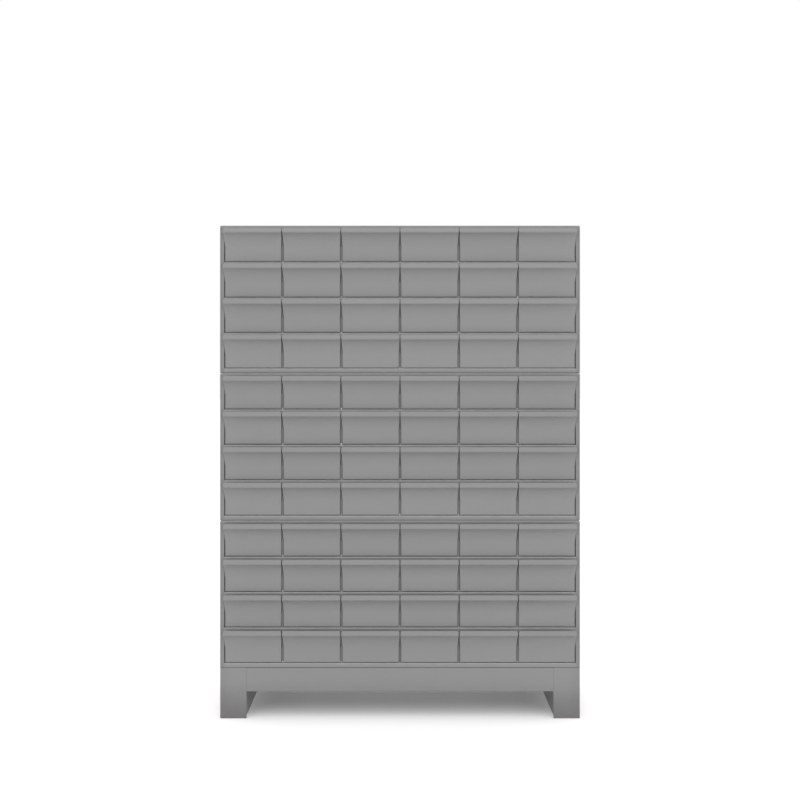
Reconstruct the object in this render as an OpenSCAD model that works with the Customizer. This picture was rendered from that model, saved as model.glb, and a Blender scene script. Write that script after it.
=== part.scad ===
// Small parts drawer cabinet: three stacked steel drawer modules on a two-footed sheet-metal base.
// Millimetres. X across the front, -Y towards the person using it, Z up from the ground.
// The origin is on the ground, under the middle of the whole cabinet.
// Every drawer rides on hat-section guides and slides out towards -Y.

/* [Layout] */
// Drawers side by side in each row
columns = 6; // [2:2:6]
// Rows of drawers in one module
rows = 4; // [2:1:4]

/* [Drawer] */
// Outside width of a drawer front
drawer_w = 137; // [110:0.5:180]
// Outside length of the drawer tray, front wall to back wall
tray_l = 277; // [220:1:340]
// Height of the tray's walls
tray_h = 71.5; // [60:0.5:110]
// Sheet thickness of trays and drawer fronts
drawer_t = 0.8; // [0.6:0.1:1.2]
// Outside bend radius along the tray's floor and up its corners
tray_bend_r = 2; // [1.6:0.2:3]
// Height of the hem folded down outside the tray's side and back walls
tray_hem_h = 6; // [3:0.5:8]
// Outside bend radius round the drawer front
front_bend_r = 3.2; // [2:0.2:4.4]
// Depth of the flanges that the drawer front folds back round the tray
front_return = 12; // [8:1:20]

/* [Drawer pull] */
// Radius of the concave sweep from the face out to the pull
sweep_r = 37.5; // [28:0.5:46]
// How far forward of the face the sweep carries the sheet
sweep_reach = 17.34; // [10:0.02:24]
// Outside bend radius where the sweep turns up into the lip
lip_bend_r = 3; // [2:0.25:5]
// Height of the lip, from the end of the sweep to its top
lip_h = 12.5; // [10:0.5:16]
// How far the lip's top stands above the tray's walls
lip_rise = 8.3; // [5:0.1:9]
// Backward lean of the lip, in millimetres per millimetre of its length
lip_slope = 0.28; // [0.1:0.02:0.34]
// Width of the lip
lip_w = 139.4; // [111:0.2:181]
// Radius of the lip's two upper corners
lip_corner_r = 5; // [2:0.5:7]
// Height of the hem folded down behind the lip's top edge
hem_h = 5; // [3:0.5:7]

/* [Drawer stop] */
// Length of the stop ear that rises from each side wall
ear_l = 20; // [12:1:30]
// Height of the stop ear above the side wall
ear_h = 6.4; // [4:0.2:8]
// How far a drawer slides out before its ears meet the shelf's front flange
travel = 255; // [150:5:260]
// Length of plain wall left between the hem and the stop ear
ear_relief = 2; // [1:0.5:5]

/* [Cabinet] */
// Depth of the case, front flange to back flange
case_d = 297; // [285:1:380]
// Sheet thickness of cases, shelves and base
sheet_t = 1.2; // [0.9:0.1:1.5]
// Outside bend radius along the case's upper corners
case_bend_r = 4.5; // [3:0.5:8]
// Outside bend radius along the case's front edges
edge_r = 1.8; // [1.6:0.1:3]
// Width of the case's front flange beside the drawers
side_flange_w = 10.2; // [8:0.1:10.4]
// Width of the case's back flange
back_flange_w = 14; // [8:1:24]
// Width of the case's bottom flange, which stands on the module or base below
bottom_flange_w = 20; // [18:1:30]
// Sheet thickness of the back panels
back_t = 1; // [0.7:0.1:1.5]

/* [Shelves and guides] */
// Height of the flange along a shelf's front and back edges
shelf_flange_h = 10.8; // [10:0.2:16]
// Outside bend radius of the shelf's flanges
shelf_bend_r = 2.4; // [1.8:0.2:4]
// Extra height over the top row of a module
top_room = 3; // [1:0.25:8]
// Sheet thickness of the drawer guides
guide_t = 0.8; // [0.6:0.1:1.4]
// How far a guide reaches up behind the shelf flange over it
guide_overlap = 5; // [2:0.5:6]
// Width of the flange that a guide puts under a drawer
guide_flange_w = 14; // [8:1:24]
// How far a guide's closed front end stands back from the drawers' faces
nose_setback = 4; // [3:0.5:10]

/* [Base] */
// Height of the base
base_h = 122.4; // [80:0.2:180]
// Width of each foot's front
foot_w = 64; // [45:0.5:90]
// How far the foot's inner wall is set in from the edge of its front
foot_wall_inset = 3; // [1:0.5:8]
// Outside bend radius of the foot's upright corners
foot_bend_r = 3; // [2:0.5:6]
// Width of the flange folded in under a foot
foot_flange_w = 14; // [8:1:20]
// Height of the front and back rails
rail_h = 58; // [30:1:75]
// Depth of the rail's upper and lower flanges
rail_flange_w = 22; // [12:1:40]

/* [Bolts] */
// Shank diameter of the bolts that join the modules and the base
bolt_d = 6; // [5:0.5:8]
// Width across the flats of bolt heads and nuts
bolt_flats = 10; // [8:0.5:13]
// Height of a bolt's head
bolt_head_h = 4; // [2.5:0.5:5]
// Height of a nut
nut_h = 5; // [3:0.5:6]
// Distance from the case's side to the bolts
bolt_side = 11.5; // [10.5:0.5:14]
// Distance from the case's front and back to the bolts
bolt_end = 60; // [30:5:100]

/* [Clearances] */
// Gap between neighbouring drawer fronts
drawer_gap = 4.6; // [4:0.1:8]
// Space from the case's side to the edge of the outer drawer's cell
side_margin = 8.7; // [8.7:0.1:14]
// How far the drawer's face stands back from the case's front
face_setback = 1.5; // [1:0.25:4]
// Least running gap between a tray and the guide flanges that carry it
running_gap = 0.4; // [0.3:0.05:0.8]
// Gap between a drawer's side and the guide beside it
guide_gap = 0.5; // [0.4:0.1:0.8]
// Gap between a tray's top and the shelf flange over it
tray_top_gap = 1.65; // [1:0.05:4]
// Least gap between the drawer front's bottom flange and the shelf
front_ground_gap = 0.5; // [0.4:0.05:0.8]
// Gap left when a stop ear meets the shelf's front flange
stop_gap = 0.4; // [0.3:0.1:1]
// Radial play of a bolt in its hole
bolt_play = 0.5; // [0.3:0.1:1]
// Radial play of a bolt in its nut
thread_play = 0.1; // [0.05:0.05:0.15]

/* [Hidden] */
$fn = 48;
modules = 3;
cut = 1;          // how far cutting shapes run past what they cut

// Cell sizes: a cell is the room of one drawer, its ground is the shelf's upper face
column_pitch = drawer_w + drawer_gap;
cabinet_w = columns * column_pitch + 2 * side_margin;
inner_w = cabinet_w - 2 * sheet_t;
tray_z = max(guide_t + running_gap, drawer_t + front_ground_gap);
tray_top_z = tray_z + tray_h;
row_pitch = tray_top_z + tray_top_gap + shelf_flange_h;
module_h = shelf_flange_h + rows * row_pitch + top_room;
cabinet_h = base_h + modules * module_h;

// Drawer front, in the plane of its side view: [depth behind the case's front, height over the shelf]
tray_w = drawer_w - 2 * drawer_t;
tray_y = face_setback + drawer_t;
tray_back_y = tray_y + tray_l;
lip_top_z = tray_top_z + lip_rise;
sweep_end_z = lip_top_z - lip_h;
sweep_angle = acos(1 - sweep_reach / sweep_r);
sweep_z = sweep_end_z - sweep_r * sin(sweep_angle);
lip_lean = asin(lip_slope);
lip_turn = sweep_angle + lip_lean;
lip_straight_h = lip_h - drawer_t - lip_bend_r * sin(sweep_angle) - (lip_bend_r - drawer_t) * lip_slope;
lip_l = lip_straight_h / cos(lip_lean);
sweep_foot_w = drawer_w - 2 * front_bend_r * (1 - cos(45));
pull_reach = (sweep_r + lip_bend_r) * (1 - cos(sweep_angle)) - face_setback;
ear_y = sheet_t + stop_gap + travel;
side_hem_l = ear_y - ear_relief - tray_y - tray_bend_r;

// Cabinet depth, with the whole cabinet centred on the origin
front_y = (pull_reach - case_d) / 2;
back_panel_y = case_d - sheet_t - back_t;
nose_y = face_setback + nose_setback;
guide_y = tray_y + front_return;
guide_end_y = back_panel_y - sheet_t - shelf_bend_r;
guide_h = tray_top_z + tray_top_gap + guide_overlap;
crown_w = drawer_gap - 2 * guide_gap;
side_crown_w = side_margin - sheet_t + drawer_gap / 2 - guide_gap;
bottom_flange_l = back_panel_y - sheet_t - shelf_bend_r - sheet_t;

bolt_x = cabinet_w / 2 - bolt_side;
bolt_l = bolt_head_h + 2 * sheet_t + nut_h + 1;
hole_r = bolt_d / 2 + bolt_play;

FRAME_NODES = ["upper_case", "middle_case", "lower_case", "back_panels", "shelves", "drawer_guides",
    "left_foot", "right_foot", "front_rail", "back_rail", "stack_bolts", "stack_nuts"];
// Drawers of the upper module slide one by one, and those below it two by two
single_cells = [for (r = [1:rows], c = [1:columns]) [r, c]];
pair_cells = [for (r = [rows + 1:modules * rows], c = [1:2:columns - 1]) [r, c]];

function two_digits(n) = n < 10 ? str("0", n) : str(n);
function drawer_name(cell) = str("drawer_r", two_digits(cell[0]), "_c", cell[1]);
function pair_name(cell) = str("drawers_r", two_digits(cell[0]), "_c", cell[1], "_c", cell[1] + 1);

// Height of a module's lower edge, with module 0 at the bottom
function module_z(level) = base_h + level * module_h;
// Height of the shelf face under a row, with row 1 at the top of the cabinet
function row_z(row) = module_z(modules - 1 - floor((row - 1) / rows)) + shelf_flange_h
    + (rows - 1 - (row - 1) % rows) * row_pitch;
// Middle of a column, with column 1 on the left
function column_x(column) = (column - (columns + 1) / 2) * column_pitch;

// ---- shared shapes ----

// A rectangle with its lower left corner at the origin and four round corners
module round_rectangle(w, d, r) {
    translate([r, 0]) square([w - 2 * r, d]);
    translate([0, r]) square([w, d - 2 * r]);
    for (x = [r, w - r], y = [r, d - r]) translate([x, y]) circle(r);
}

// A bent strip of sheet in side view: the part of a ring between two angles, under 170 degrees apart
module ring_sector(inner_r, outer_r, from, to) {
    reach = 3 * outer_r;
    middle = (from + to) / 2;
    intersection() {
        difference() {
            circle(outer_r);
            circle(inner_r);
        }
        polygon([[0, 0], reach * [cos(from), sin(from)], reach * [cos(middle), sin(middle)],
            reach * [cos(to), sin(to)]]);
    }
}

// Sheet of thickness t bent round a hollow of radius r, as a whole ring
module bent_sheet(r, t) {
    difference() {
        circle(r + t);
        circle(r);
    }
}

// Half of the plane around a bend, above or below the x axis, to cut the bend where the next part starts
module upper_half(r) {
    translate([-2 * r, 0]) square([4 * r, 2 * r]);
}

module lower_half(r) {
    mirror([0, 1]) upper_half(r);
}

// Extrudes a side view, drawn as [y, z], across X and centres it
module across(w) {
    translate([-w / 2, 0, 0]) rotate([90, 0, 90]) linear_extrude(w) children();
}

// Extrudes a front view, drawn as [x, z], from y = 0 towards +Y
module backwards(d) {
    translate([0, d, 0]) rotate([90, 0, 0]) linear_extrude(d) children();
}

// What a round outside edge along X takes off a square corner at [0, 0], with the solid at +Y and -Z
module edge_cut(r, l) {
    across(l) difference() {
        translate([-cut, -r]) square([r + cut, r + cut]);
        translate([r, -r]) circle(r);
    }
}

// A hexagon prism standing on z = 0, for heads and nuts
module hexagon(flats, h) {
    cylinder(r = flats / 2 / cos(30), h = h, $fn = 6);
}

// Places children at the four bolts of one joint between modules
module at_bolts() {
    for (x = [-bolt_x, bolt_x], y = [bolt_end, case_d - bolt_end]) translate([x, y, 0]) children();
}

// ---- drawer ----

// A rectangle with its lower left corner at the origin and its two lower corners round
module bent_up(w, h, r) {
    translate([r, 0]) square([w - 2 * r, h]);
    translate([0, r]) square([w, h - r]);
    for (x = [r, w - r]) translate([x, r]) circle(r);
}

// The tray's outside, or its inside for an inset of one sheet, with bends along the floor and up the corners
module tray_form(inset) {
    w = tray_w - 2 * inset;
    l = tray_l - 2 * inset;
    r = tray_bend_r - inset;
    translate([0, inset, inset]) intersection() {
        linear_extrude(tray_h) translate([-w / 2, 0]) round_rectangle(w, l, r);
        across(w) bent_up(l, tray_h, r);
        backwards(l) translate([-w / 2, 0]) bent_up(w, tray_h, r);
    }
}

// Section of the hem folded down outside a wall, with the wall's outside at 0 and its top at tray_h
module hem_section() {
    translate([0, tray_h - drawer_t]) intersection() {
        circle(drawer_t);
        translate([-drawer_t, 0]) square([2 * drawer_t, drawer_t]);
    }
    translate([-drawer_t, tray_h - tray_hem_h]) square([drawer_t, tray_hem_h - drawer_t]);
}

// The tray: a folded and welded box, open at the top, with hemmed walls and a stop ear on each side
module tray() {
    translate([0, tray_y, tray_z]) {
        difference() {
            tray_form(0);
            tray_form(drawer_t);
            translate([-tray_w, -cut, tray_h - drawer_t]) cube([2 * tray_w, tray_l + 2 * cut, 2 * drawer_t]);
        }
        for (side = [-1, 1]) translate([side * tray_w / 2, tray_bend_r, 0])
            mirror([side > 0 ? 1 : 0, 0, 0]) backwards(side_hem_l) hem_section();
        translate([0, tray_l, 0]) across(tray_w - 2 * tray_bend_r) mirror([1, 0]) hem_section();
    }
    for (side = [-1, 1]) translate([side * (tray_w - drawer_t) / 2, 0, 0]) across(drawer_t)
        polygon([[ear_y, tray_top_z - 2 * drawer_t], [ear_y + ear_l, tray_top_z - 2 * drawer_t],
            [ear_y + ear_l - ear_h, tray_top_z + ear_h], [ear_y, tray_top_z + ear_h]]);
}

// Side view of the pull: the sweep, the bend and the lip with its hem
module pull_section() {
    translate([face_setback - sweep_r, sweep_z]) {
        intersection() {
            bent_sheet(sweep_r, drawer_t);
            upper_half(sweep_r);
            rotate(sweep_angle) lower_half(sweep_r);
        }
        rotate(sweep_angle) translate([sweep_r + lip_bend_r, 0]) {
            intersection() {
                bent_sheet(lip_bend_r - drawer_t, drawer_t);
                upper_half(lip_bend_r);
                rotate(-lip_turn) lower_half(lip_bend_r);
            }
            rotate(-lip_turn) translate([-lip_bend_r, lip_l]) lip_section();
        }
    }
}

// Straight lip with its hem, from the side: the hem's top is round the point [drawer_t, 0]
module lip_section() {
    translate([0, -lip_l]) square([drawer_t, lip_l]);
    translate([0, -hem_h]) square([2 * drawer_t, hem_h]);
    translate([drawer_t, 0]) intersection() {
        circle(drawer_t);
        upper_half(drawer_t);
    }
}

// Front view of the pull: it widens up the sweep, and the lip has round upper corners, which end a
// little above the lip so that they cut its round top edge cleanly
module pull_outline() {
    polygon([[-sweep_foot_w / 2, sweep_z - cut], [sweep_foot_w / 2, sweep_z - cut],
        [lip_w / 2, sweep_end_z], [-lip_w / 2, sweep_end_z]]);
    translate([-lip_w / 2, sweep_end_z]) square([lip_w, lip_h + drawer_t / 4 - lip_corner_r]);
    translate([-lip_w / 2 + lip_corner_r, sweep_end_z]) square([lip_w - 2 * lip_corner_r, lip_h + cut]);
    for (side = [-1, 1])
        translate([side * (lip_w / 2 - lip_corner_r), lip_top_z + drawer_t / 4 - lip_corner_r])
            circle(lip_corner_r);
}

// Side view of the folded front below the sweep, and its plan view, each grown inwards by inset
module front_section(inset) {
    bottom = tray_z - drawer_t + inset;
    r = front_bend_r - inset;
    translate([face_setback + inset, bottom + r]) square([front_return + cut, sweep_z - bottom - r]);
    translate([face_setback + inset + r, bottom]) square([front_return + cut - r, sweep_z - bottom]);
    translate([face_setback + inset + r, bottom + r]) circle(r);
}

module front_plan(inset) {
    w = drawer_w - 2 * inset;
    translate([-w / 2, face_setback + inset]) round_rectangle(w, 2 * front_return, front_bend_r - inset);
}

// The drawer front: one sheet folded round the tray's end and swept out into a full-width pull
module drawer_front() {
    difference() {
        intersection() {
            across(drawer_w + cut) front_section(0);
            linear_extrude(sweep_z) front_plan(0);
            translate([-drawer_w, 0, 0]) cube([2 * drawer_w, face_setback + front_return, sweep_z]);
        }
        intersection() {
            across(drawer_w + cut) union() {
                front_section(drawer_t);
                translate([face_setback + drawer_t, sweep_z - cut]) square([front_return + cut, 2 * cut]);
            }
            linear_extrude(sweep_z + 2 * cut) front_plan(drawer_t);
        }
    }
    intersection() {
        across(lip_w + cut) pull_section();
        translate([0, -pull_reach - cut, 0]) backwards(pull_reach + face_setback + drawer_t + 2 * cut)
            pull_outline();
    }
}

module drawer(cell) {
    translate([column_x(cell[1]), front_y, row_z(cell[0])]) {
        color("darkgray") tray();
        color("gray") drawer_front();
    }
}

module drawer_pair(cell) {
    drawer(cell);
    drawer([cell[0], cell[1] + 1]);
}

// ---- module cases ----

// Front view of the case's outside, or of its inside for an inset of one sheet and a lower bottom
module case_outline(inset, bottom) {
    w = cabinet_w - 2 * inset;
    top = module_h - inset;
    r = case_bend_r - inset;
    translate([-w / 2, bottom]) square([w, top - r - bottom]);
    translate([-w / 2 + r, bottom]) square([w - 2 * r, top - bottom]);
    for (side = [-1, 1]) translate([side * (w / 2 - r), top - r]) circle(r);
}

// A flange round the sides and top of the case
module case_flange(side_w, top_h) {
    backwards(sheet_t) difference() {
        case_outline(0, 0);
        translate([-cabinet_w / 2 + side_w, -cut]) square([cabinet_w - 2 * side_w, module_h - top_h + cut]);
    }
}

// The case: one sheet folded into two sides and a top, with flanges at the front, back and bottom
module case_shell(level, top_holes) {
    translate([0, front_y, module_z(level)]) color("gray") difference() {
        union() {
            backwards(case_d) difference() {
                case_outline(0, 0);
                case_outline(sheet_t, -cut);
            }
            case_flange(side_flange_w, top_room + shelf_flange_h);
            translate([0, case_d - sheet_t, 0]) case_flange(back_flange_w, back_flange_w);
            for (side = [-1, 1]) translate([side * (inner_w - bottom_flange_w) / 2, sheet_t, 0])
                translate([-bottom_flange_w / 2, 0, 0]) cube([bottom_flange_w, bottom_flange_l, sheet_t]);
        }
        translate([0, 0, module_h]) edge_cut(edge_r, cabinet_w + cut);
        for (side = [-1, 1]) translate([side * cabinet_w / 2, 0, 0]) rotate([0, side * 90, 0])
            edge_cut(edge_r, 2 * module_h + cut);
        at_bolts() translate([0, 0, -cut]) cylinder(r = hole_r, h = sheet_t + 2 * cut);
        if (top_holes) at_bolts() translate([0, 0, module_h - sheet_t - cut])
            cylinder(r = hole_r, h = sheet_t + 2 * cut);
    }
}

module upper_case() {
    case_shell(2, false);
}

module middle_case() {
    case_shell(1, true);
}

module lower_case() {
    case_shell(0, true);
}

// One back panel closes each module, inside the case's back flange
module back_panels() {
    for (level = [0:modules - 1]) translate([-inner_w / 2, front_y + back_panel_y, module_z(level)])
        color("gray") cube([inner_w, back_t, module_h - case_bend_r]);
}

// Side view of a shelf: a flat sheet with a flange bent down along the front and the back
module shelf_section() {
    translate([shelf_bend_r, -sheet_t]) square([back_panel_y - 2 * shelf_bend_r, sheet_t]);
    for (end = [[shelf_bend_r, 90, 180], [back_panel_y - shelf_bend_r, 0, 90]])
        translate([end[0], -shelf_bend_r]) ring_sector(shelf_bend_r - sheet_t, shelf_bend_r, end[1], end[2]);
    for (y = [0, back_panel_y - sheet_t]) translate([y, -shelf_flange_h])
        square([sheet_t, shelf_flange_h - shelf_bend_r]);
}

// A shelf under every row: its front flange shows between the case's side flanges
module shelf() {
    difference() {
        across(inner_w) shelf_section();
        for (side = [-1, 1]) translate([side * cabinet_w / 2, 0, 0])
            translate([-side_flange_w, -cut, -shelf_flange_h - cut])
            cube([2 * side_flange_w, sheet_t + cut, shelf_flange_h + 2 * cut]);
        for (side = [-1, 1]) translate([side * cabinet_w / 2, 0, 0])
            translate([-side_flange_w, 0, -shelf_flange_h - cut])
            cube([2 * side_flange_w, shelf_bend_r, shelf_flange_h - sheet_t + cut]);
    }
}

module shelves() {
    for (row = [1:modules * rows]) translate([0, front_y, row_z(row)]) color("gray") shelf();
}

// A hat-section guide, standing on the shelf: a tall crown with a closed front end, and a flange on each
// side where a drawer runs
module guide(crown, flange_sides) {
    translate([0, nose_y, 0]) backwards(guide_end_y - nose_y) {
        translate([-crown / 2, guide_h - guide_t]) square([crown, guide_t]);
        for (x = [-crown / 2, crown / 2 - guide_t]) translate([x, 0]) square([guide_t, guide_h]);
    }
    translate([-crown / 2, nose_y, 0]) cube([crown, guide_t, guide_h]);
    for (side = flange_sides) translate([side * (crown + guide_flange_w) / 2, guide_y, 0])
        translate([-guide_flange_w / 2, 0, 0]) cube([guide_flange_w, guide_end_y - guide_y, guide_t]);
}

// Guides keep the drawers apart, and their flanges carry the trays
module drawer_guides() {
    for (row = [1:modules * rows]) translate([0, front_y, row_z(row)]) color("silver") {
        for (column = [1:columns - 1]) translate([column_x(column + 0.5), 0, 0]) guide(crown_w, [-1, 1]);
        for (side = [-1, 1])
            translate([side * (inner_w - side_crown_w) / 2, 0, 0]) guide(side_crown_w, [-side]);
    }
}

// ---- base ----

// Plan view of a foot's outside: two round corners towards the outside, square ones towards the middle
module foot_plan(inset) {
    r = foot_bend_r - inset;
    w = foot_w - inset;
    d = case_d - 2 * inset;
    translate([inset + r, inset]) square([w - r, d]);
    translate([inset, inset + r]) square([w, d - 2 * r]);
    for (y = [inset + r, inset + d - r]) translate([inset + r, y]) circle(r);
}

// A foot for the left side: a deep narrow box of sheet, closed on top and flanged in at the ground
module foot() {
    wall_x = foot_w - foot_wall_inset;
    difference() {
        linear_extrude(base_h) foot_plan(0);
        translate([0, 0, sheet_t]) linear_extrude(base_h - 2 * sheet_t) intersection() {
            foot_plan(sheet_t);
            square([wall_x - sheet_t, case_d]);
        }
        translate([foot_flange_w, foot_flange_w, -cut])
            cube([wall_x - 2 * foot_flange_w, case_d - 2 * foot_flange_w, sheet_t + 2 * cut]);
        translate([wall_x, sheet_t, -cut])
            cube([foot_wall_inset + cut, case_d - 2 * sheet_t, base_h + 2 * cut]);
        for (y = [bolt_end, case_d - bolt_end]) translate([bolt_side, y, base_h - sheet_t - cut])
            cylinder(r = hole_r, h = sheet_t + 2 * cut);
    }
}

module left_foot() {
    color("gray") translate([-cabinet_w / 2, front_y, 0]) foot();
}

module right_foot() {
    color("gray") translate([cabinet_w / 2, front_y, 0]) mirror([1, 0, 0]) foot();
}

// Side view of a rail: an upright web with a flange folded back along its top and bottom
module rail_section() {
    r = shelf_bend_r;
    translate([0, r]) square([sheet_t, rail_h - 2 * r]);
    for (z = [0, rail_h - sheet_t]) translate([r, z]) square([rail_flange_w - r, sheet_t]);
    translate([r, r]) ring_sector(r - sheet_t, r, 180, 270);
    translate([r, rail_h - r]) ring_sector(r - sheet_t, r, 90, 180);
}

module rail() {
    translate([0, 0, base_h - rail_h]) across(cabinet_w - 2 * foot_w) rail_section();
}

module front_rail() {
    color("gray") translate([0, front_y, 0]) rail();
}

module back_rail() {
    color("gray") translate([0, front_y + case_d, 0]) mirror([0, 1, 0]) rail();
}

// ---- fasteners ----

// A hex bolt whose head bears on the underside of z = 0
module stack_bolt() {
    translate([0, 0, -bolt_head_h]) {
        hexagon(bolt_flats, bolt_head_h);
        cylinder(d = bolt_d, h = bolt_l);
    }
}

module stack_nut() {
    difference() {
        hexagon(bolt_flats, nut_h);
        translate([0, 0, -cut]) cylinder(r = bolt_d / 2 + thread_play, h = nut_h + 2 * cut);
    }
}

module stack_bolts() {
    for (level = [0:modules - 1]) translate([0, front_y, module_z(level) - sheet_t])
        color("silver") at_bolts() stack_bolt();
}

module stack_nuts() {
    for (level = [0:modules - 1]) translate([0, front_y, module_z(level) + sheet_t])
        color("silver") at_bolts() stack_nut();
}

upper_case();
middle_case();
lower_case();
back_panels();
shelves();
drawer_guides();
left_foot();
right_foot();
front_rail();
back_rail();
stack_bolts();
stack_nuts();
for (cell = single_cells) drawer(cell);
for (cell = pair_cells) drawer_pair(cell);
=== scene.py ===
# A steel cabinet for small parts: three modules of sliding drawers, stacked on a sheet-metal base.
# It is dressed here in the order in which it is put together, from the base up to the drawers.
import math

import bpy
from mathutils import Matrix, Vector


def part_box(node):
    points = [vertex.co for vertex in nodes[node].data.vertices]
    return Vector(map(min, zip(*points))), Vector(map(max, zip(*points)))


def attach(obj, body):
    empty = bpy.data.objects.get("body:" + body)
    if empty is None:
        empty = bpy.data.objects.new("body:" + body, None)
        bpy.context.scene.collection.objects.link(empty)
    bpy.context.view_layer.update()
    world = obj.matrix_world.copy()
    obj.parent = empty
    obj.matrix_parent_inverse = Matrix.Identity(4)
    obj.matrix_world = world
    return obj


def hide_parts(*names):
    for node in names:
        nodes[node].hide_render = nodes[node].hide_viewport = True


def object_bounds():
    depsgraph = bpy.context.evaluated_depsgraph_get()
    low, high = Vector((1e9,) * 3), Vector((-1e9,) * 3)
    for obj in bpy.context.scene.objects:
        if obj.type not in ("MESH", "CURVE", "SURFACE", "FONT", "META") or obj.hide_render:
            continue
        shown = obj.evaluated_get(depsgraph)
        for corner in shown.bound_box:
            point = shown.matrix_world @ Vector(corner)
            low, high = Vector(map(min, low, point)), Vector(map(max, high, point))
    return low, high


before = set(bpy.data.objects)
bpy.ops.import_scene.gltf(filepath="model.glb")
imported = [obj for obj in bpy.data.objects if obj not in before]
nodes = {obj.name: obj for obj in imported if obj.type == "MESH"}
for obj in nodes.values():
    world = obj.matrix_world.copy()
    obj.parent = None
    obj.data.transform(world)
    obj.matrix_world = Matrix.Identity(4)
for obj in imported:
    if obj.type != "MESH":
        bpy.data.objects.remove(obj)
cad_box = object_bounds()

# ---- The camera ----
# It stands straight in front of the cabinet, above its middle, and looks level. Its frame is shifted
# down to take in the base, so that the uprights stay parallel. Of the image's 800 pixels the cabinet
# fills 360 in width, and its front meets the floor 718 below the top.
CAMERA_DISTANCE = 2.40
CAMERA_HEIGHT = 0.86
SENSOR_MM = 36
FAR_CLIP = 50
IMAGE_PX = 800
CABINET_PX = 360.1
GROUND_PX = 718.4

cabinet_w = cad_box[1].x - cad_box[0].x
front_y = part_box("front_rail")[0].y
camera = bpy.data.objects.new("Camera", bpy.data.cameras.new("Camera"))
bpy.context.collection.objects.link(camera)
bpy.context.scene.camera = camera
camera.location = (0, front_y - CAMERA_DISTANCE, CAMERA_HEIGHT)
camera.rotation_euler = (math.pi / 2, 0, 0)
px_per_m = CABINET_PX / cabinet_w
camera.data.sensor_width = SENSOR_MM
camera.data.lens = SENSOR_MM * px_per_m * CAMERA_DISTANCE / IMAGE_PX
horizon_px = GROUND_PX - CAMERA_HEIGHT * px_per_m
camera.data.shift_y = (horizon_px - IMAGE_PX / 2) / IMAGE_PX
camera.data.clip_end = FAR_CLIP


# ---- The base: two feet and two rails ----
# Folded from 1.2 mm steel sheet, and stove-enamelled gray with the rest. The feet take the knocks. Low down,
# the outsides of the base are painted darker towards the floor: painted shade, with some floor dirt. Tone and
# orange peel are groups, because every enamelled piece has them.
def new_group(name, inputs, outputs):
    group = bpy.data.node_groups.new(name, "ShaderNodeTree")
    for label, value in inputs.items():
        socket = group.interface.new_socket(label, in_out="INPUT", socket_type="NodeSocketFloat")
        socket.default_value = value
    for label in outputs:
        group.interface.new_socket(label, in_out="OUTPUT", socket_type="NodeSocketFloat")
    return group, group.nodes.new("NodeGroupInput").outputs, group.nodes.new("NodeGroupOutput").inputs


# A socket is linked, and a plain number or color is set
def connect(tree, value, socket):
    if isinstance(value, bpy.types.NodeSocket):
        tree.links.new(value, socket)
    else:
        socket.default_value = value


def math_node(tree, operation, *values):
    node = tree.nodes.new("ShaderNodeMath")
    node.operation = operation
    for socket, value in zip(node.inputs, values):
        connect(tree, value, socket)
    return node.outputs[0]


def noise(tree, scale, detail=2.0, stretch=(1, 1, 1)):
    place = tree.nodes.new("ShaderNodeTexCoord").outputs["Object"]
    if stretch != (1, 1, 1):
        mapping = tree.nodes.new("ShaderNodeMapping")
        mapping.inputs["Scale"].default_value = stretch
        tree.links.new(place, mapping.inputs["Vector"])
        place = mapping.outputs["Vector"]
    node = tree.nodes.new("ShaderNodeTexNoise")
    node.inputs["Scale"].default_value = scale
    node.inputs["Detail"].default_value = detail
    tree.links.new(place, node.inputs["Vector"])
    return node.outputs["Fac"]


def place_xyz(tree):
    split = tree.nodes.new("ShaderNodeSeparateXYZ")
    tree.links.new(tree.nodes.new("ShaderNodeTexCoord").outputs["Object"], split.inputs[0])
    return split.outputs


def spread(tree, value, low, high, to_low=0.0, to_high=1.0):
    node = tree.nodes.new("ShaderNodeMapRange")
    node.interpolation_type = "SMOOTHSTEP"
    for label, number in (("From Min", low), ("From Max", high), ("To Min", to_low), ("To Max", to_high)):
        connect(tree, number, node.inputs[label])
    tree.links.new(value, node.inputs["Value"])
    return node.outputs["Result"]


def shade(tree, color, factor):
    node = tree.nodes.new("ShaderNodeHueSaturation")
    connect(tree, color, node.inputs["Color"])
    connect(tree, factor, node.inputs["Value"])
    return node.outputs["Color"]


def mix(tree, factor, color_a, color_b):
    node = tree.nodes.new("ShaderNodeMix")
    node.data_type = "RGBA"
    connect(tree, factor, node.inputs["Factor"])
    connect(tree, color_a, node.inputs["A"])
    connect(tree, color_b, node.inputs["B"])
    return node.outputs["Result"]


def use_group(tree, group, **values):
    node = tree.nodes.new("ShaderNodeGroup")
    node.node_tree = group
    for label, value in values.items():
        connect(tree, value, node.inputs[label.replace("_", " ")])
    return node.outputs


def bump(tree, shader, height):
    node = tree.nodes.new("ShaderNodeBump")
    node.inputs["Distance"].default_value = 1.0
    tree.links.new(height, node.inputs["Height"])
    tree.links.new(node.outputs["Normal"], shader.inputs["Normal"])


def material(name):
    made = bpy.data.materials.new(name)
    made.use_nodes = True
    return made, made.node_tree, made.node_tree.nodes["Principled BSDF"]


def paint(piece, made):
    nodes[piece].data.materials.clear()
    nodes[piece].data.materials.append(made)


# Enamel tone: soft clouds a hand wide, and finer ones a finger wide, where the coat is thicker
CLOUDS = 0.05
CLOUD_SCALE = 7
MOTTLE_SCALE = 45
MOTTLE_SHARE = 0.5
tone_group, given, out = new_group("enamel_tone", {"Clouds": CLOUDS}, ["Tone"])
clouds = math_node(tone_group, "SUBTRACT", noise(tone_group, CLOUD_SCALE, 3), 0.5)
mottle = math_node(tone_group, "SUBTRACT", noise(tone_group, MOTTLE_SCALE, 2), 0.5)
both = math_node(tone_group, "MULTIPLY_ADD", mottle, MOTTLE_SHARE, clouds)
connect(tone_group, math_node(tone_group, "MULTIPLY_ADD", both, given["Clouds"], 1.0), out["Tone"])

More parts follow.
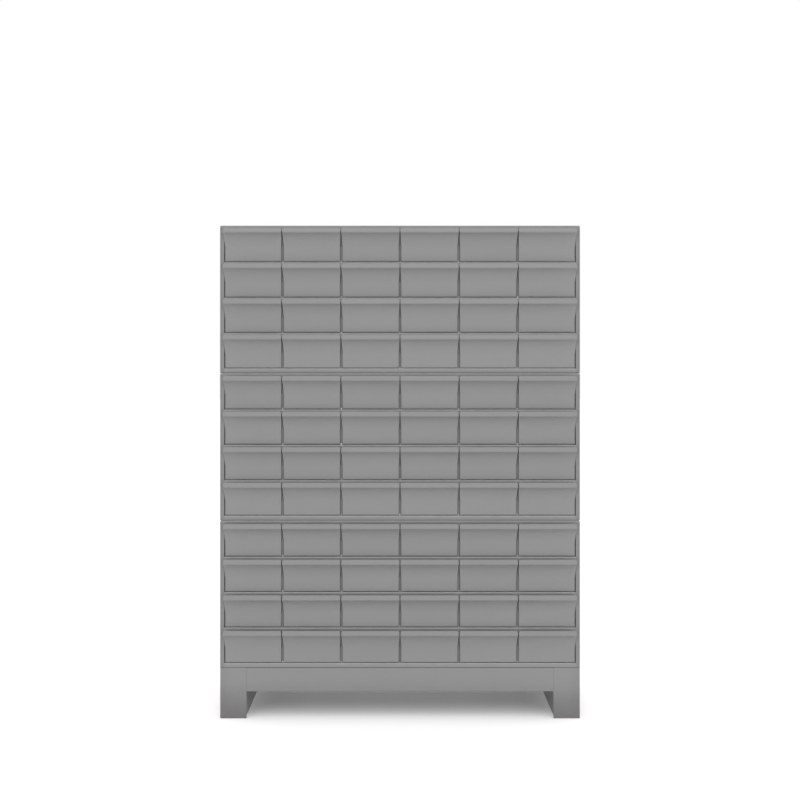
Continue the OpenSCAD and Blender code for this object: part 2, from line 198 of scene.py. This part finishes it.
# Orange peel: the low ripple of baked enamel, over the slight unevenness of the sheet itself
PEEL_DEPTH = 6e-6
PEEL_SCALE = 420
BASE_WAVES = 2e-4
WAVE_SCALE = 5
peel_group, given, out = new_group("enamel_relief", {"Sheet": BASE_WAVES}, ["Height"])
ripple = math_node(peel_group, "MULTIPLY", noise(peel_group, PEEL_SCALE, 1), PEEL_DEPTH)
sheet = math_node(peel_group, "MULTIPLY", noise(peel_group, WAVE_SCALE, 1), given["Sheet"])
connect(peel_group, math_node(peel_group, "ADD", ripple, sheet), out["Height"])

# Seam line: a dark hairline where a module stands on the next one, or on the base. It is painted shade of the
# joint, with dirt that settles there.
SEAM_REACH = 0.0013
SEAM_DIRT_AND_SHADE = 0.75
SEAM_SHADE_GRAY = (0.05, 0.05, 0.049, 1)
base_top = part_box("lower_case")[0].z
module_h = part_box("middle_case")[0].z - base_top
seam_shade_group, given, out = new_group("seam_dirt_and_shade", {}, ["Dirt"])
height = place_xyz(seam_shade_group)["Z"]
above_base = math_node(seam_shade_group, "SUBTRACT", height, base_top)
from_seam = math_node(seam_shade_group, "PINGPONG", above_base, module_h / 2)
seam = spread(seam_shade_group, from_seam, SEAM_REACH / 3, SEAM_REACH, SEAM_DIRT_AND_SHADE, 0.0)
below_top = math_node(seam_shade_group, "LESS_THAN", height, cad_box[1].z - module_h / 2)
connect(seam_shade_group, math_node(seam_shade_group, "MULTIPLY", seam, below_top), out["Dirt"])

# Edge shade: the front is painted a little darker towards the cabinet's two sides, a painted shade along its
# outer edges
SKIN = 0.003
CORNER_REACH = 0.035
edge_shade_group, given, out = new_group("front_edge_shade", {}, ["Grime"])
xyz = place_xyz(edge_shade_group)
to_side = math_node(edge_shade_group, "SUBTRACT", cabinet_w / 2, math_node(edge_shade_group, "ABSOLUTE", xyz["X"]))
on_front = math_node(edge_shade_group, "LESS_THAN", xyz["Y"], front_y + SKIN)
corner = spread(edge_shade_group, to_side, 0.0, CORNER_REACH, 1.0, 0.0)
connect(edge_shade_group, math_node(edge_shade_group, "MULTIPLY", on_front, corner), out["Grime"])

ENAMEL_GRAY = (0.283, 0.284, 0.284, 1)
ENAMEL_ROUGHNESS = 0.44
LOW_SHADE_GRAY = (0.192, 0.191, 0.188, 1)
LOW_SHADE_REACH = 0.105
DIRT_ROUGHNESS = 0.2
RAGGED_BY = 0.02
RAGGED_SCALE = 30
BASE_EDGE_SHADE = 0.08
RAIL_SEAM_DIRT_AND_SHADE = 0.25
foot_low, foot_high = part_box("left_foot")
foot_inner_x = cabinet_w / 2 - (foot_high.x - foot_low.x)

base_mat, tree, shader = material("base_enamel")
tone = use_group(tree, tone_group)["Tone"]
edge_shade = use_group(tree, edge_shade_group)["Grime"]
# The front is painted darker towards its sides: painted shade
tone = math_node(tree, "MULTIPLY_ADD", edge_shade, -BASE_EDGE_SHADE, tone)
xyz = place_xyz(tree)
from_middle = math_node(tree, "ABSOLUTE", xyz["X"])
# Painted shade: the outsides darken towards the floor, with a ragged edge, and grow a little rougher there
# like mop and shoe dirt
on_end = math_node(tree, "MAXIMUM", math_node(tree, "LESS_THAN", xyz["Y"], foot_low.y + SKIN),
                   math_node(tree, "GREATER_THAN", xyz["Y"], foot_high.y - SKIN))
outside = math_node(tree, "MAXIMUM", on_end,
                    math_node(tree, "GREATER_THAN", from_middle, cabinet_w / 2 - SKIN))
ragged = math_node(tree, "MULTIPLY_ADD", noise(tree, RAGGED_SCALE, 3), RAGGED_BY, xyz["Z"])
low_down = spread(tree, ragged, RAGGED_BY / 2, LOW_SHADE_REACH + RAGGED_BY / 2, 1.0, 0.0)
low_shade_and_dirt = math_node(tree, "MULTIPLY", low_down, outside)
gray = mix(tree, low_shade_and_dirt, ENAMEL_GRAY, LOW_SHADE_GRAY)
# The seams are painted dark: painted shade in the joints, with dirt
gray = mix(tree, use_group(tree, seam_shade_group)["Dirt"], gray, SEAM_SHADE_GRAY)
from_foot = math_node(tree, "ABSOLUTE", math_node(tree, "SUBTRACT", from_middle, foot_inner_x))
rail_seam = math_node(tree, "MULTIPLY", spread(tree, from_foot, 0.0, SEAM_REACH, RAIL_SEAM_DIRT_AND_SHADE, 0.0), on_end)
gray = mix(tree, rail_seam, gray, SEAM_SHADE_GRAY)
connect(tree, shade(tree, gray, tone), shader.inputs["Base Color"])
rough = math_node(tree, "MULTIPLY_ADD", low_shade_and_dirt, DIRT_ROUGHNESS, ENAMEL_ROUGHNESS)
connect(tree, rough, shader.inputs["Roughness"])
bump(tree, shader, use_group(tree, peel_group)["Height"])
for piece in ("left_foot", "right_foot", "front_rail", "back_rail"):
    paint(piece, base_mat)

# ---- The three cases ----
# Each is one sheet, folded into two sides and a top, and enamelled. The side guides inside are spot welded to
# it, and the welds leave shallow round marks in rows on the sides. Dust settles on the top. Its front bend is
# worn, and is painted paler as well: painted light on the shaded strip above the drawer pulls. The front is
# painted darker towards the sides, a painted shade.
row_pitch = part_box("drawer_r01_c1")[0].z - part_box("drawer_r02_c1")[0].z
column_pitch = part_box("drawer_r01_c2")[0].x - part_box("drawer_r01_c1")[0].x
first_row_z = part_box("drawers_r12_c1_c2")[0].z - base_top
ROW_MARGIN = 0.002
WELD_PITCH = 0.065
WELD_R = 0.0028
WELD_FLAT = 0.6
WELD_DEPTH = 8e-5
WELD_ROUGHNESS = 0.06
WELD_ABOVE_SHELF = 0.045
SIDE_SKIN = 0.0005
CASE_WAVES = 4e-4
CASE_GRAY = (0.27, 0.271, 0.271, 1)
CASE_EDGE_SHADE = 0.12
WORN_AND_LIT_GRAY = (0.4, 0.401, 0.401, 1)
LIT_WEAR_WIDTH = 0.004
CASE_LIT_WEAR_WIDTH = 0.0065
LIT_WEAR_UNEVEN = 0.003
LIT_WEAR_SCALE = 60
DUST_GRAY = (0.36, 0.355, 0.345, 1)
DUST_COVER = 0.3
DUST_THIN = 0.3
DUST_SCALE = 6
DUST_PATCHES = (0.35, 0.6)
DUST_ROUGHNESS = 0.2

# Worn and lit edge: a paler band along a front bend, here wider and there narrower. Hands and drawers rub the
# enamel there, and the band is also painted light that lifts the shade above the drawer pulls.
lit_wear_group, given, out = new_group("worn_and_lit_edge", {"Below Edge": 0.0, "Width": LIT_WEAR_WIDTH}, ["Wear"])
wander = noise(lit_wear_group, LIT_WEAR_SCALE, 2)
uneven = math_node(lit_wear_group, "MULTIPLY_ADD", wander, LIT_WEAR_UNEVEN, given["Below Edge"])
lit_worn_to = math_node(lit_wear_group, "ADD", given["Width"], LIT_WEAR_UNEVEN / 2)
on_front = math_node(lit_wear_group, "LESS_THAN", place_xyz(lit_wear_group)["Y"], front_y + SKIN)
worn_and_lit = spread(lit_wear_group, uneven, LIT_WEAR_UNEVEN / 2, lit_worn_to, 1.0, 0.0)
connect(lit_wear_group, math_node(lit_wear_group, "MULTIPLY", worn_and_lit, on_front), out["Wear"])

# Where a point lies in the grid of drawers: its height within its row, and a number of its own for
# each drawer's cell
cell_group, given, out = new_group("drawer_cell", {}, ["Height in Row", "Cell Number"])
xyz = place_xyz(cell_group)
above_base = math_node(cell_group, "SUBTRACT", xyz["Z"], base_top)
module = math_node(cell_group, "FLOOR", math_node(cell_group, "DIVIDE", above_base, module_h))
in_module = math_node(cell_group, "SUBTRACT", above_base, math_node(cell_group, "MULTIPLY", module, module_h))
above_row = math_node(cell_group, "SUBTRACT", in_module, first_row_z - ROW_MARGIN)
row = math_node(cell_group, "FLOOR", math_node(cell_group, "DIVIDE", above_row, row_pitch))
in_row = math_node(cell_group, "SUBTRACT", above_row, math_node(cell_group, "MULTIPLY", row, row_pitch))
connect(cell_group, in_row, out["Height in Row"])
column = math_node(cell_group, "FLOOR", math_node(cell_group, "DIVIDE", xyz["X"], column_pitch))
cell = cell_group.nodes.new("ShaderNodeCombineXYZ")
for socket, index in zip(cell.inputs, (column, row, module)):
    connect(cell_group, index, socket)
number = cell_group.nodes.new("ShaderNodeTexWhiteNoise")
connect(cell_group, cell.outputs[0], number.inputs["Vector"])
connect(cell_group, number.outputs["Value"], out["Cell Number"])


def diagonal(tree, side_a, side_b):
    squares = [math_node(tree, "POWER", side, 2.0) for side in (side_a, side_b)]
    return math_node(tree, "SQRT", math_node(tree, "ADD", *squares))


# A row of spot welds, from how far a point is along the row and across it
weld_group, given, out = new_group("spot_welds", {"Along": 0.0, "Across": 0.0}, ["Weld"])
along = math_node(weld_group, "PINGPONG", given["Along"], WELD_PITCH / 2)
radius = diagonal(weld_group, along, given["Across"])
connect(weld_group, spread(weld_group, radius, WELD_R * WELD_FLAT, WELD_R, 1.0, 0.0), out["Weld"])

case_mat, tree, shader = material("case_enamel")
tone = use_group(tree, tone_group)["Tone"]
edge_shade = use_group(tree, edge_shade_group)["Grime"]
# The front is painted darker towards its sides: painted shade
tone = math_node(tree, "MULTIPLY_ADD", edge_shade, -CASE_EDGE_SHADE, tone)
cell_place = use_group(tree, cell_group)
across = math_node(tree, "SUBTRACT", cell_place["Height in Row"], WELD_ABOVE_SHELF)
xyz = place_xyz(tree)
on_side = math_node(tree, "GREATER_THAN", math_node(tree, "ABSOLUTE", xyz["X"]), cabinet_w / 2 - SIDE_SKIN)
weld = use_group(tree, weld_group, Along=xyz["Y"], Across=across)["Weld"]
weld = math_node(tree, "MULTIPLY", weld, on_side)
# Dust lies thinner where things have been put down and taken away
on_top = math_node(tree, "GREATER_THAN", xyz["Z"], cad_box[1].z - SKIN)
patches = spread(tree, noise(tree, DUST_SCALE, 4), *DUST_PATCHES, DUST_THIN, 1.0)
dust = math_node(tree, "MULTIPLY", on_top, patches)
gray = mix(tree, math_node(tree, "MULTIPLY", dust, DUST_COVER), CASE_GRAY, DUST_GRAY)
below_base = math_node(tree, "SUBTRACT", base_top, xyz["Z"])
below_case_top = math_node(tree, "WRAP", below_base, module_h, 0.0)
wear_and_light = use_group(tree, lit_wear_group, Below_Edge=below_case_top, Width=CASE_LIT_WEAR_WIDTH)["Wear"]
# The front bend is painted paler: wear, and painted light over its shade
gray = mix(tree, wear_and_light, gray, WORN_AND_LIT_GRAY)
# The seams are painted dark: painted shade in the joints, with dirt
gray = mix(tree, use_group(tree, seam_shade_group)["Dirt"], gray, SEAM_SHADE_GRAY)
connect(tree, shade(tree, gray, tone), shader.inputs["Base Color"])
rough = math_node(tree, "MULTIPLY_ADD", weld, WELD_ROUGHNESS, ENAMEL_ROUGHNESS)
connect(tree, math_node(tree, "MULTIPLY_ADD", dust, DUST_ROUGHNESS, rough), shader.inputs["Roughness"])
relief = use_group(tree, peel_group, Sheet=CASE_WAVES)["Height"]
bump(tree, shader, math_node(tree, "MULTIPLY_ADD", weld, -WELD_DEPTH, relief))
for piece in ("lower_case", "middle_case", "upper_case"):
    paint(piece, case_mat)

# ---- The back panels ----
# Flat sheets, spot welded all along the shelves' back flanges and enamelled with the case.
WELD_BELOW_SHELF = 0.0054
FRONT_ABOVE_SHELF = 0.0005

back_mat, tree, shader = material("back_enamel")
tone = use_group(tree, tone_group)["Tone"]
weld_height = row_pitch + ROW_MARGIN - FRONT_ABOVE_SHELF - WELD_BELOW_SHELF
across = math_node(tree, "SUBTRACT", use_group(tree, cell_group)["Height in Row"], weld_height)
weld = use_group(tree, weld_group, Along=place_xyz(tree)["X"], Across=across)["Weld"]
connect(tree, shade(tree, CASE_GRAY, tone), shader.inputs["Base Color"])
rough = math_node(tree, "MULTIPLY_ADD", weld, WELD_ROUGHNESS, ENAMEL_ROUGHNESS)
connect(tree, rough, shader.inputs["Roughness"])
relief = use_group(tree, peel_group, Sheet=CASE_WAVES)["Height"]
bump(tree, shader, math_node(tree, "MULTIPLY_ADD", weld, -WELD_DEPTH, relief))
paint("back_panels", back_mat)

# ---- The shelves ----
# Plain sheets with their flanges bent down, from the same enamel bath. Small parts that have fallen behind
# the drawers scratch them, and open drawers wear their front bends. These bends are painted paler too:
# painted light on the shaded strip above the pulls below.
SCRATCHED_GRAY = (0.38, 0.38, 0.375, 1)
SCRATCH_SCALE = 9
SCRATCH_STRETCH = (2.5, 0.7, 1)
SCRATCH_SMOOTH = 0.1
BREAK_SCALE = 22
BREAKS = (0.5, 0.62)
SHELF_SCRATCH_WIDTH = 0.006
SHELF_SCRATCH_COVER = 0.5
SHELF_WAVES = 3e-4

# Scratches: thin broken lines, where a stretched noise passes its middle
scratch_group, given, out = new_group("scratches", {"Width": SHELF_SCRATCH_WIDTH}, ["Scratch"])
grain = noise(scratch_group, SCRATCH_SCALE, 2, SCRATCH_STRETCH)
lines = math_node(scratch_group, "ABSOLUTE", math_node(scratch_group, "SUBTRACT", grain, 0.5))
fine = spread(scratch_group, lines, 0.0, given["Width"], 1.0, 0.0)
broken = spread(scratch_group, noise(scratch_group, BREAK_SCALE, 1), *BREAKS)
connect(scratch_group, math_node(scratch_group, "MULTIPLY", fine, broken), out["Scratch"])

shelf_mat, tree, shader = material("shelf_enamel")
tone = use_group(tree, tone_group)["Tone"]
scratch = use_group(tree, scratch_group)["Scratch"]
inside = math_node(tree, "GREATER_THAN", place_xyz(tree)["Y"], front_y + SKIN)
scratch = math_node(tree, "MULTIPLY", scratch, inside)
gray = mix(tree, math_node(tree, "MULTIPLY", scratch, SHELF_SCRATCH_COVER), ENAMEL_GRAY, SCRATCHED_GRAY)
to_shelf_top = math_node(tree, "SUBTRACT", ROW_MARGIN - FRONT_ABOVE_SHELF,
                         use_group(tree, cell_group)["Height in Row"])
below_shelf_top = math_node(tree, "WRAP", to_shelf_top, row_pitch, 0.0)
wear_and_light = use_group(tree, lit_wear_group, Below_Edge=below_shelf_top)["Wear"]
# The front bend is painted paler: wear, and painted light over its shade
gray = mix(tree, wear_and_light, gray, WORN_AND_LIT_GRAY)
# The seams are painted dark: painted shade in the joints, with dirt
gray = mix(tree, use_group(tree, seam_shade_group)["Dirt"], gray, SEAM_SHADE_GRAY)
connect(tree, shade(tree, gray, tone), shader.inputs["Base Color"])
rough = math_node(tree, "MULTIPLY_ADD", scratch, -SCRATCH_SMOOTH, ENAMEL_ROUGHNESS)
connect(tree, rough, shader.inputs["Roughness"])
bump(tree, shader, use_group(tree, peel_group, Sheet=SHELF_WAVES)["Height"])
paint("shelves", shelf_mat)

# ---- The drawer guides ----
# Hat sections bent from galvanised strip, and spot welded to the shelves before the case is sprayed. A thin
# coat reaches only their front ends, which are painted dark: dust on the coat, and painted shade in the slots
# between the drawers. Further in the zinc shows, rubbed bright where the trays run.
DUSTY_SHADED_GRAY = (0.2, 0.199, 0.197, 1)
ZINC_GRAY = (0.4, 0.41, 0.42, 1)
BARE_STEEL = (0.5, 0.49, 0.48, 1)
SPRAYED_TO = 0.06
THIN_FROM = 0.02
SPANGLE = 0.16
SPANGLE_SCALE = 130
RUBBED_BELOW = 0.003
RUBBED_SMOOTH = 0.14
RUBBED_DEPTH = 4e-5
STREAK_SCALE = 300
STREAK_STRETCH = (1, 0.01, 1)
STREAKS = (0.42, 0.62)
GUIDE_WAVES = 1e-4

guide_mat, tree, shader = material("guide_steel")
zinc = spread(tree, place_xyz(tree)["Y"], front_y + THIN_FROM, front_y + SPRAYED_TO)
crystals = tree.nodes.new("ShaderNodeTexVoronoi")
crystals.inputs["Scale"].default_value = SPANGLE_SCALE
tree.links.new(tree.nodes.new("ShaderNodeTexCoord").outputs["Object"], crystals.inputs["Vector"])
crystal = tree.nodes.new("ShaderNodeSeparateColor")
tree.links.new(crystals.outputs["Color"], crystal.inputs[0])
spangle = math_node(tree, "SUBTRACT", crystal.outputs[0], 0.5)
spangle = math_node(tree, "MULTIPLY", math_node(tree, "MULTIPLY", spangle, zinc), SPANGLE)
tone = math_node(tree, "ADD", use_group(tree, tone_group)["Tone"], spangle)
low = math_node(tree, "LESS_THAN", use_group(tree, cell_group)["Height in Row"], ROW_MARGIN + RUBBED_BELOW)
streaks = spread(tree, noise(tree, STREAK_SCALE, 2, STREAK_STRETCH), *STREAKS)
rubbed = math_node(tree, "MULTIPLY", streaks, low)
# The front ends are painted dark: dust, and painted shade for the slots between the drawers
gray = mix(tree, rubbed, mix(tree, zinc, DUSTY_SHADED_GRAY, ZINC_GRAY), BARE_STEEL)
connect(tree, shade(tree, gray, tone), shader.inputs["Base Color"])
connect(tree, math_node(tree, "MAXIMUM", rubbed, zinc), shader.inputs["Metallic"])
rough = math_node(tree, "MULTIPLY_ADD", rubbed, -RUBBED_SMOOTH, ENAMEL_ROUGHNESS)
connect(tree, rough, shader.inputs["Roughness"])
relief = use_group(tree, peel_group, Sheet=GUIDE_WAVES)["Height"]
bump(tree, shader, math_node(tree, "MULTIPLY_ADD", rubbed, -RUBBED_DEPTH, relief))
paint("drawer_guides", guide_mat)

# ---- Bolts and nuts of the stack ----
# Zinc-plated M6 hex bolts go up through the top of each case or foot and the flange above, with a nut
# on each. They are cold headed, with chamfered corners and a rolled thread.
BOLT_D = 0.006
THREAD_PITCH = 0.001
THREAD_DEPTH = 0.00055
FLATS = 0.010
HEAD_H = 0.004
NUT_H = 0.005
CORNER_R = FLATS / 2 / math.cos(math.pi / 6)
CHAMFER_H = 0.0008
CHAMFER_R = 0.0047
CHAMFER_STEPS = 4
BEARING_FACE = 0.94
BEARING_FACE_H = 0.0002
PLAIN_SHANK = 0.0005
PLAIN_END = 0.0004
BORE_PLAY = 0.0001
BORE_CHAMFER = 0.0004
ROUND_STEPS = 48


def hex_r(angle):
    return FLATS / 2 / math.cos((angle + math.pi / 6) % (math.pi / 3) - math.pi / 6)


def ring(rows, z, radius_at):
    angles = [2 * math.pi * i / ROUND_STEPS for i in range(ROUND_STEPS)]
    rows.append([(radius_at(a) * math.cos(a), radius_at(a) * math.sin(a), z) for a in angles])


def chamfered_hex(rows, z_flat, z_end):
    toward = 1 if z_end > z_flat else -1
    ring(rows, z_flat, hex_r)
    for step in range(CHAMFER_STEPS + 1):
        part = step / CHAMFER_STEPS
        cone_r = CORNER_R + (CHAMFER_R - CORNER_R) * part
        ring(rows, z_end - toward * CHAMFER_H * (1 - part), lambda a: min(hex_r(a), cone_r))


# Each turn of the thread is two rows of points, a crest and a root, cut off flat at both ends
def thread(rows, z_low, z_high, outer_r):
    turns = int((z_high - z_low) / THREAD_PITCH) + 2
    for half_turn in range(2 * turns):
        row = []
        for i in range(ROUND_STEPS):
            angle = 2 * math.pi * i / ROUND_STEPS
            z = z_low + THREAD_PITCH * (half_turn / 2 - 1 + i / ROUND_STEPS)
            radius = outer_r - THREAD_DEPTH * (half_turn % 2)
            row.append((radius * math.cos(angle), radius * math.sin(angle), min(max(z, z_low), z_high)))
        rows.append(row)


# Joins rings of points to one closed skin, with flat ends or, for a tube, back to the first ring
def turned(rows, closed_tube=False):
    points = [point for row in rows for point in row]
    count = len(rows)
    faces = []
    for j in range(count if closed_tube else count - 1):
        for i in range(ROUND_STEPS):
            here, there = j * ROUND_STEPS, (j + 1) % count * ROUND_STEPS
            i_next = (i + 1) % ROUND_STEPS
            faces.append((here + i, here + i_next, there + i_next, there + i))
    if not closed_tube:
        faces.append(tuple(reversed(range(ROUND_STEPS))))
        faces.append(tuple(range((count - 1) * ROUND_STEPS, count * ROUND_STEPS)))
    return points, faces


def bolt_shape(length):
    rows = []
    chamfered_hex(rows, -BEARING_FACE_H, -HEAD_H)
    rows.reverse()
    ring(rows, 0.0, lambda a: FLATS / 2 * BEARING_FACE)
    ring(rows, 0.0, lambda a: BOLT_D / 2)
    thread(rows, PLAIN_SHANK, length - HEAD_H - PLAIN_END, BOLT_D / 2)
    ring(rows, length - HEAD_H, lambda a: BOLT_D / 2 - THREAD_DEPTH)
    return turned(rows)


def nut_shape():
    rows = []
    chamfered_hex(rows, NUT_H / 2, 0.0)
    rows.reverse()
    chamfered_hex(rows, NUT_H / 2, NUT_H)
    bore = []
    thread(bore, BORE_CHAMFER, NUT_H - BORE_CHAMFER, BOLT_D / 2 + BORE_PLAY + THREAD_DEPTH)
    ring(rows, NUT_H, lambda a: BOLT_D / 2 + BORE_CHAMFER)
    rows.extend(reversed(bore))
    ring(rows, 0.0, lambda a: BOLT_D / 2 + BORE_CHAMFER)
    return turned(rows, closed_tube=True)


def twelve_of(name, shape, node, z_first):
    low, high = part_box(node)
    points, faces = [], []
    for level in range(3):
        for x in (low.x + CORNER_R, high.x - CORNER_R):
            for y in (low.y + FLATS / 2, high.y - FLATS / 2):
                start = len(points)
                points += [(x + p[0], y + p[1], z_first + level * module_h + p[2]) for p in shape[0]]
                faces += [tuple(start + i for i in face) for face in shape[1]]
    piece = bpy.data.objects.new(name, bpy.data.meshes.new(name))
    piece.data.from_pydata(points, [], faces)
    piece.data.validate()
    bpy.context.collection.objects.link(piece)
    return piece


BRIGHT_ZINC = (0.62, 0.63, 0.64, 1)
TARNISHED_ZINC = (0.56, 0.55, 0.5, 1)
ZINC_ROUGHNESS = (0.24, 0.4)
TARNISH_SCALE = 400
TARNISH = (0.3, 0.7)
GRAIN_SCALE = 2500
GRAIN_DEPTH = 2e-6

zinc_mat, tree, shader = material("zinc_plate")
tarnish = noise(tree, TARNISH_SCALE, 3)
connect(tree, mix(tree, tarnish, BRIGHT_ZINC, TARNISHED_ZINC), shader.inputs["Base Color"])
connect(tree, spread(tree, tarnish, *TARNISH, *ZINC_ROUGHNESS), shader.inputs["Roughness"])
shader.inputs["Metallic"].default_value = 1.0
bump(tree, shader, math_node(tree, "MULTIPLY", noise(tree, GRAIN_SCALE, 1), GRAIN_DEPTH))

bolt_low, bolt_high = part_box("stack_bolts")
bolt_l = bolt_high.z - bolt_low.z - 2 * module_h
bolts = twelve_of("threaded_bolts", bolt_shape(bolt_l), "stack_bolts", bolt_low.z + HEAD_H)
nuts = twelve_of("hex_nuts", nut_shape(), "stack_nuts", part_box("stack_nuts")[0].z)
for piece, node in ((bolts, "stack_bolts"), (nuts, "stack_nuts")):
    piece.data.materials.append(zinc_mat)
    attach(piece, "cabinet")
    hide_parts(node)

# ---- The drawers ----
# A folded tray welded to a one-piece front, which sweeps out into the pull. Each one came from the paint line
# at its own moment, so its gray differs a shade from its neighbours'. Fingers polish the pull, and small
# parts scratch the tray. The pull is painted a little darker, for grease and as painted shade.
DRAWER_CLOUDS = 0.04
DRAWER_WAVES = 1.5e-4
CELL_SHADES = 0.03
TRAY_FROM = 0.004
DRAWER_SCRATCH_WIDTH = 0.009
DRAWER_SCRATCH_COVER = 0.6
PULL_FADE = (0.064, 0.07)
POLISH = 0.07
PULL_GREASE_AND_SHADE = 0.045
HANDLED_SCALE = 25
HANDLED = (0.35, 0.65)

drawer_mat, tree, shader = material("drawer_enamel")
tone = use_group(tree, tone_group, Clouds=DRAWER_CLOUDS)["Tone"]
cell_place = use_group(tree, cell_group)
own_shade = math_node(tree, "SUBTRACT", cell_place["Cell Number"], 0.5)
tone = math_node(tree, "MULTIPLY_ADD", own_shade, CELL_SHADES, tone)
inside = math_node(tree, "GREATER_THAN", place_xyz(tree)["Y"], front_y + TRAY_FROM)
scratch = use_group(tree, scratch_group, Width=DRAWER_SCRATCH_WIDTH)["Scratch"]
scratch = math_node(tree, "MULTIPLY", scratch, inside)
gray = mix(tree, math_node(tree, "MULTIPLY", scratch, DRAWER_SCRATCH_COVER), ENAMEL_GRAY, SCRATCHED_GRAY)
on_pull = spread(tree, cell_place["Height in Row"], *PULL_FADE)
on_pull = math_node(tree, "MULTIPLY", on_pull, math_node(tree, "SUBTRACT", 1.0, inside))
handled = math_node(tree, "MULTIPLY", on_pull, spread(tree, noise(tree, HANDLED_SCALE, 2), *HANDLED))
# The pull is painted darker: grease, and painted shade on its upturned face
tone = math_node(tree, "MULTIPLY_ADD", on_pull, -PULL_GREASE_AND_SHADE, tone)
connect(tree, shade(tree, gray, tone), shader.inputs["Base Color"])
rough = math_node(tree, "MULTIPLY_ADD", handled, -POLISH, ENAMEL_ROUGHNESS)
rough = math_node(tree, "MULTIPLY_ADD", scratch, -SCRATCH_SMOOTH, rough)
connect(tree, rough, shader.inputs["Roughness"])
bump(tree, shader, use_group(tree, peel_group, Sheet=DRAWER_WAVES)["Height"])
for piece in nodes:
    if piece.startswith(("drawer_r", "drawers_r")):
        paint(piece, drawer_mat)

# ---- The floor and the light ----
# A plain white studio: an even light from all round, and one weak softbox overhead. The floor glows to
# plain white away from the cabinet and keeps its shadow close to it.
FLOOR_SIZE = 40
FLOOR_WHITE = (0.9, 0.882, 0.888, 1)
SHADOW_IN = 0.13
SHADOW_OUT = 0.08
GLOW_UNDER = 0.09
GLOW_AROUND = 0.37
FILL = 1.02
OVERHEAD_W = 6
OVERHEAD_SIZE = (2.4, 1.6)
OVERHEAD_AHEAD = 1.2
OVERHEAD_HEIGHT = 2.8
OVERHEAD_TILT = 28

floor = bpy.data.objects.new("floor", bpy.data.meshes.new("floor"))
half = FLOOR_SIZE / 2
floor.data.from_pydata([(-half, -half, 0), (half, -half, 0), (half, half, 0), (-half, half, 0)], [],
                       [(0, 1, 2, 3)])
bpy.context.collection.objects.link(floor)
floor_mat, tree, shader = material("studio_floor")
shader.inputs["Base Color"].default_value = FLOOR_WHITE
shader.inputs["Roughness"].default_value = 1.0
shader.inputs["Specular IOR Level"].default_value = 0.0
back_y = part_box("back_rail")[1].y
xyz = place_xyz(tree)
beside = math_node(tree, "SUBTRACT", math_node(tree, "ABSOLUTE", xyz["X"]), cabinet_w / 2)
from_middle = math_node(tree, "ABSOLUTE", math_node(tree, "SUBTRACT", xyz["Y"], (front_y + back_y) / 2))
before = math_node(tree, "SUBTRACT", from_middle, (back_y - front_y) / 2)
away = diagonal(tree, math_node(tree, "MAXIMUM", beside, 0.0), math_node(tree, "MAXIMUM", before, 0.0))
under = math_node(tree, "MINIMUM", math_node(tree, "MAXIMUM", beside, before), 0.0)
distance = math_node(tree, "ADD", away, under)
# The glow is weakest under the cabinet and grows outwards, so it paints part of the shadow's soft fade and
# lightens the shadow under the cabinet
glow = spread(tree, distance, -SHADOW_IN, SHADOW_OUT, GLOW_UNDER, GLOW_AROUND)
light_path = tree.nodes.new("ShaderNodeLightPath").outputs
seen = math_node(tree, "MAXIMUM", light_path["Is Camera Ray"], light_path["Is Glossy Ray"])
shader.inputs["Emission Color"].default_value = (1, 1, 1, 1)
connect(tree, math_node(tree, "MULTIPLY", glow, seen), shader.inputs["Emission Strength"])
floor.data.materials.append(floor_mat)

world = bpy.data.worlds.new("studio")
bpy.context.scene.world = world
world.use_nodes = True
tree = world.node_tree
light_path = tree.nodes.new("ShaderNodeLightPath").outputs
background = tree.nodes["Background"]
seen = math_node(tree, "MAXIMUM", light_path["Is Camera Ray"], light_path["Is Transmission Ray"])
connect(tree, math_node(tree, "MULTIPLY_ADD", seen, 1 - FILL, FILL), background.inputs["Strength"])
background.inputs["Color"].default_value = (1, 1, 1, 1)

lamp = bpy.data.objects.new("overhead_softbox", bpy.data.lights.new("overhead_softbox", "AREA"))
bpy.context.collection.objects.link(lamp)
lamp.data.shape = "RECTANGLE"
lamp.data.size, lamp.data.size_y = OVERHEAD_SIZE
lamp.data.energy = OVERHEAD_W
lamp.location = (0, front_y - OVERHEAD_AHEAD, OVERHEAD_HEIGHT)
lamp.rotation_euler = (math.radians(OVERHEAD_TILT), 0, 0)

bpy.context.scene.view_settings.view_transform = "Standard"
